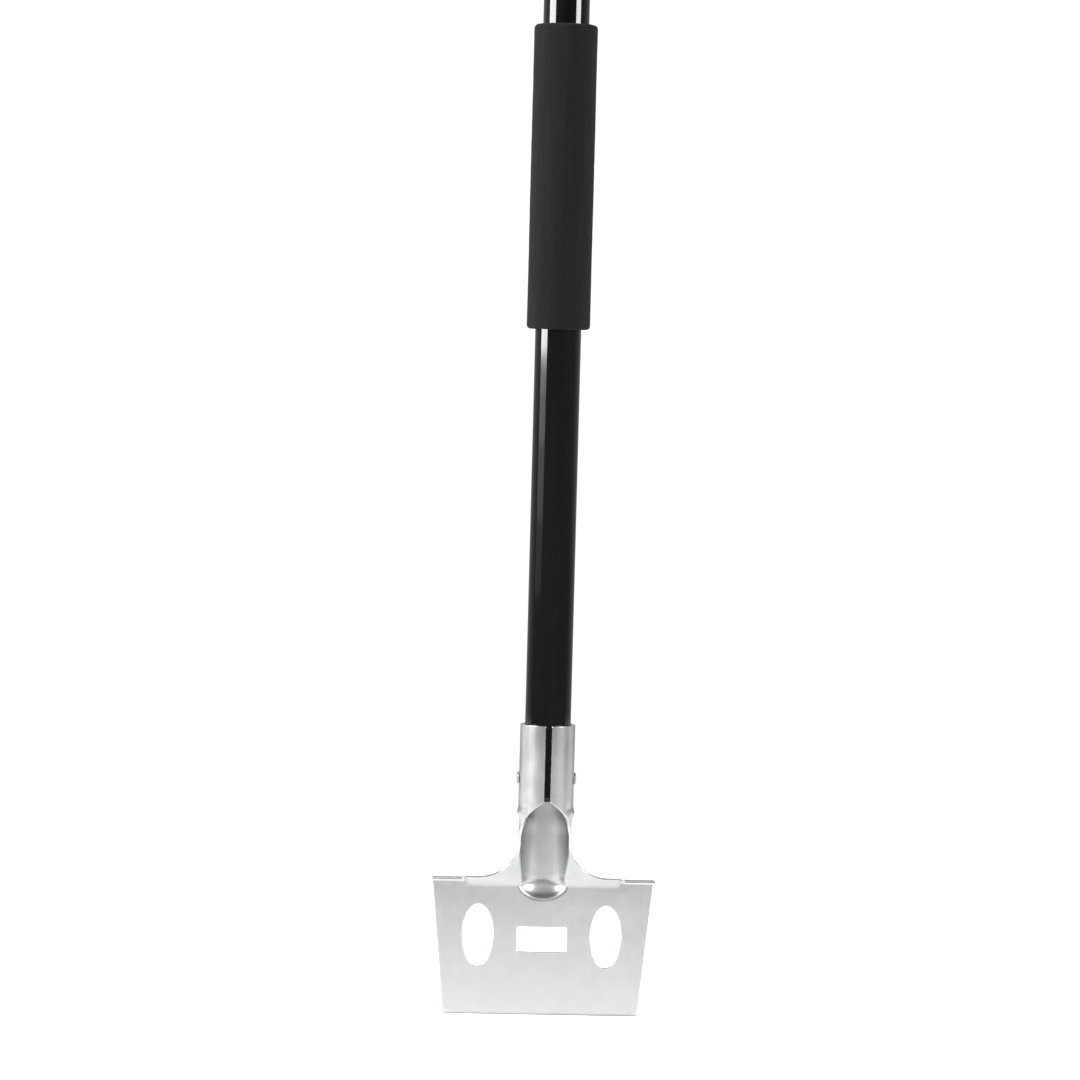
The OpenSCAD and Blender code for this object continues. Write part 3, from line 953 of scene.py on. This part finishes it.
def studio_world():
    """White to the camera, and to the object a room with walls and a ceiling of their own
    brightness."""
    world = bpy.data.worlds.new("studio_world")
    scene.world = world
    world.use_nodes = True
    nodes, links = world.node_tree.nodes, world.node_tree.links
    nodes.clear()
    out = nodes.new("ShaderNodeOutputWorld")
    choose = nodes.new("ShaderNodeMixShader")
    path = nodes.new("ShaderNodeLightPath")
    seen, lit = nodes.new("ShaderNodeBackground"), nodes.new("ShaderNodeBackground")
    seen.inputs["Strength"].default_value = BACKDROP
    seen.inputs["Color"].default_value = (1, 1, 1, 1)
    place, parts = nodes.new("ShaderNodeTexCoord"), nodes.new("ShaderNodeSeparateXYZ")
    links.new(place.outputs["Generated"], parts.inputs["Vector"])
    front, bearing = nodes.new("ShaderNodeMath"), nodes.new("ShaderNodeMath")
    front.operation, bearing.operation = "MULTIPLY", "ARCTAN2"
    front.inputs[1].default_value = -1
    links.new(parts.outputs["Y"], front.inputs[0])
    links.new(parts.outputs["X"], bearing.inputs[0])
    links.new(front.outputs["Value"], bearing.inputs[1])

    def share(source, start, end):
        node = nodes.new("ShaderNodeMapRange")
        node.inputs["From Min"].default_value, node.inputs["From Max"].default_value = start, end
        links.new(source, node.inputs["Value"])
        return node.outputs["Result"]

    def wall(name, levels):
        node = nodes.new("ShaderNodeValToRGB")
        node.name = name
        for _ in range(3):
            node.color_ramp.elements.new(0.5)
        for i, element in enumerate(node.color_ramp.elements):
            value = levels[i % 4]
            element.position, element.color = i / 4, (value, value, value, 1)
        links.new(share(bearing.outputs["Value"], -math.pi, math.pi), node.inputs["Fac"])
        return node.outputs["Color"]

    def blend(share_of_b, a, b):
        node = nodes.new("ShaderNodeMix")
        node.data_type = "RGBA"
        links.new(share_of_b, node.inputs["Factor"])
        links.new(a, node.inputs[6])
        links.new(b, node.inputs[7])
        return node.outputs[2]

    up = parts.outputs["Z"]
    total = blend(share(up, -0.02, 0.05), wall("low", WALL_LOW), wall("level", WALL_LEVEL))
    total = blend(share(up, 0.15, 0.35), total, wall("high", WALL_HIGH))
    total = blend(share(up, 0.5, 0.75), total, wall("ceiling", (CEILING,) * 4))
    links.new(total, lit.inputs["Color"])
    links.new(path.outputs["Is Camera Ray"], choose.inputs["Fac"])
    links.new(lit.outputs["Background"], choose.inputs[1])
    links.new(seen.outputs["Background"], choose.inputs[2])
    links.new(choose.outputs["Shader"], out.inputs["Surface"])


studio_world()


def softbox(name, side, low, high, radiance):
    """An upright soft light facing the pole, between two heights. side is the light's bearing in
    degrees from the front, to the right, its distance from the pole and its width."""
    bearing, distance, width = side
    lamp = bpy.data.lights.new(name, "AREA")
    lamp.shape, lamp.size, lamp.size_y = "RECTANGLE", width, high - low
    lamp.energy = radiance * width * (high - low) * math.pi
    holder = bpy.data.objects.new(name, lamp)
    turn = math.radians(bearing)
    holder.location = (distance * math.sin(turn), -distance * math.cos(turn), (low + high) / 2)
    away = Vector((holder.location.x, holder.location.y, 0))
    holder.rotation_euler = (-away).to_track_quat("-Z", "Y").to_euler()
    holder.visible_camera = False
    scene.collection.objects.link(holder)


LEFT, RIGHT = (-76, 1.6, 1.05), (60, 2.0, 0.92)
softbox("left_softbox", LEFT, 0.445, 1.9, 10.3)
softbox("right_softbox", RIGHT, 0.55, 1.9, 9.3)
# the left light's glow fades downward below its lower edge, in four steps
for name, low, high, radiance in (("a", 0.400, 0.444, 1.5), ("b", 0.350, 0.399, 1.1),
                                  ("c", 0.270, 0.349, 0.6), ("d", 0.190, 0.269, 0.2)):
    softbox(f"left_spill_{name}", LEFT, low, high, radiance)
# low cards beyond the floor, behind the sides of the object, lift the edges of the steel socket
softbox("left_card", (-116, 1.6, 1.0), -0.13, 0.05, 1.4)
softbox("right_card", (112, 1.6, 1.0), -0.13, 0.05, 1.1)

# ---------------------------------------------------------------- camera

VIEW_Z = 0.3319                               # height on the pole that the camera looks at
VIEW_DISTANCE = 3.0
VIEW_BEARING, VIEW_PITCH, VIEW_ROLL = math.radians(-2.7), math.radians(3.0), math.radians(1.5)
VIEW_ASIDE = 0.0088                           # the pole stands this far right of the middle there
SENSOR, FOCAL = 36, 144.8

lens = bpy.data.cameras.new("camera")
lens.sensor_width, lens.lens = SENSOR, FOCAL
lens.clip_start, lens.clip_end = 0.1, 50
camera = bpy.data.objects.new("camera", lens)
scene.collection.objects.link(camera)
scene.camera = camera
back = Vector((math.sin(VIEW_BEARING) * math.cos(VIEW_PITCH),
               -math.cos(VIEW_BEARING) * math.cos(VIEW_PITCH), math.sin(VIEW_PITCH)))
facing = (-back).to_track_quat("-Z", "Y").to_matrix()
right = facing @ Vector((1, 0, 0))
turned_view = facing @ Matrix.Rotation(VIEW_ROLL, 3, "Z")
camera.location = Vector((0, 0, VIEW_Z)) + back * VIEW_DISTANCE - right * VIEW_ASIDE
camera.rotation_euler = turned_view.to_euler()

scene.view_settings.view_transform = "Standard"
scene.view_settings.look = "None"
